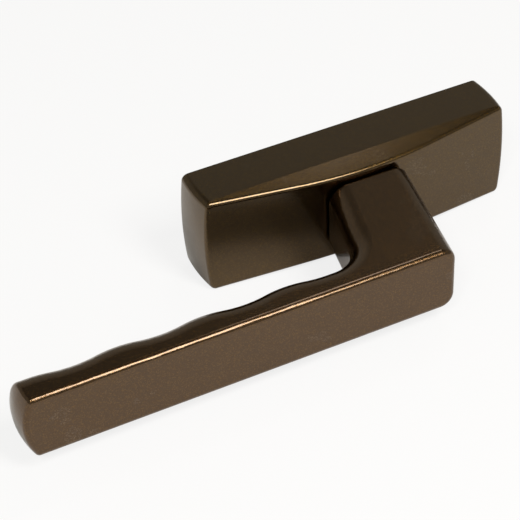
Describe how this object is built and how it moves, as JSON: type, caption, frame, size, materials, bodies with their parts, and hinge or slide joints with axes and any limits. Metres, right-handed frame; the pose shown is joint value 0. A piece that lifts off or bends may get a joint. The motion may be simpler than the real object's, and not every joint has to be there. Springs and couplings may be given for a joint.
{
  "type": "window handle",
  "caption": "Bronze-coloured window handle: a gabled housing with a rack drive inside and an L-shaped lever with finger recesses that moves the window's rods.",
  "frame": {"origin": "centre of the mounting face, on the axis that the lever turns about", "axes": "+X along the base, away from the lever's free end; -Y out of the mounting face towards the lever; +Z across the base, as the handle lies in the picture"},
  "size_m": [0.1554, 0.0638, 0.029],
  "materials": {
    "bronze_housing": "satin bronze metallic coating",
    "bronze_lever": "satin bronze metallic coating",
    "zinc_steel": "zinc plated",
    "spring_steel": "blued spring steel",
    "dark_plastic": "moulded, matte"
  },
  "bodies": {
    "base": {"base_housing": "bronze_housing", "bearing_bush": "dark_plastic", "neck_washer": "dark_plastic", "detent_spring": "spring_steel", "guide_plate": "dark_plastic", "back_plate": "zinc_steel", "plate_screws": "zinc_steel"},
    "handle": {"lever_handle": "bronze_lever", "square_spindle": "zinc_steel", "spindle_pin": "zinc_steel", "thrust_washer": "zinc_steel", "detent_cam": "zinc_steel", "drive_pinion": "zinc_steel", "retaining_washer": "zinc_steel", "retaining_screw": "zinc_steel"},
    "upper_slide": {"upper_rack": "zinc_steel", "upper_drive_peg": "zinc_steel"},
    "lower_slide": {"lower_rack": "zinc_steel", "lower_drive_peg": "zinc_steel"}
  },
  "joints": [
    {"name": "handle_turn", "type": "hinge", "parent": "base", "child": "handle", "pos_m": [0, 0, 0], "axis": [0, 1, 0], "range_deg": [0, 90], "deforming": ["detent_spring"]},
    {"name": "upper_rack_slide", "type": "slide", "parent": "base", "child": "upper_slide", "axis": [1, 0, 0], "range_m": [0, 0.0118]},
    {"name": "lower_rack_slide", "type": "slide", "parent": "base", "child": "lower_slide", "axis": [-1, 0, 0], "range_m": [0, 0.0118]}
  ],
  "couplings": [
    {"joint": "upper_rack_slide", "follows": "handle_turn", "m_per_rad": 0.0075},
    {"joint": "lower_rack_slide", "follows": "handle_turn", "m_per_rad": 0.0075}
  ]
}
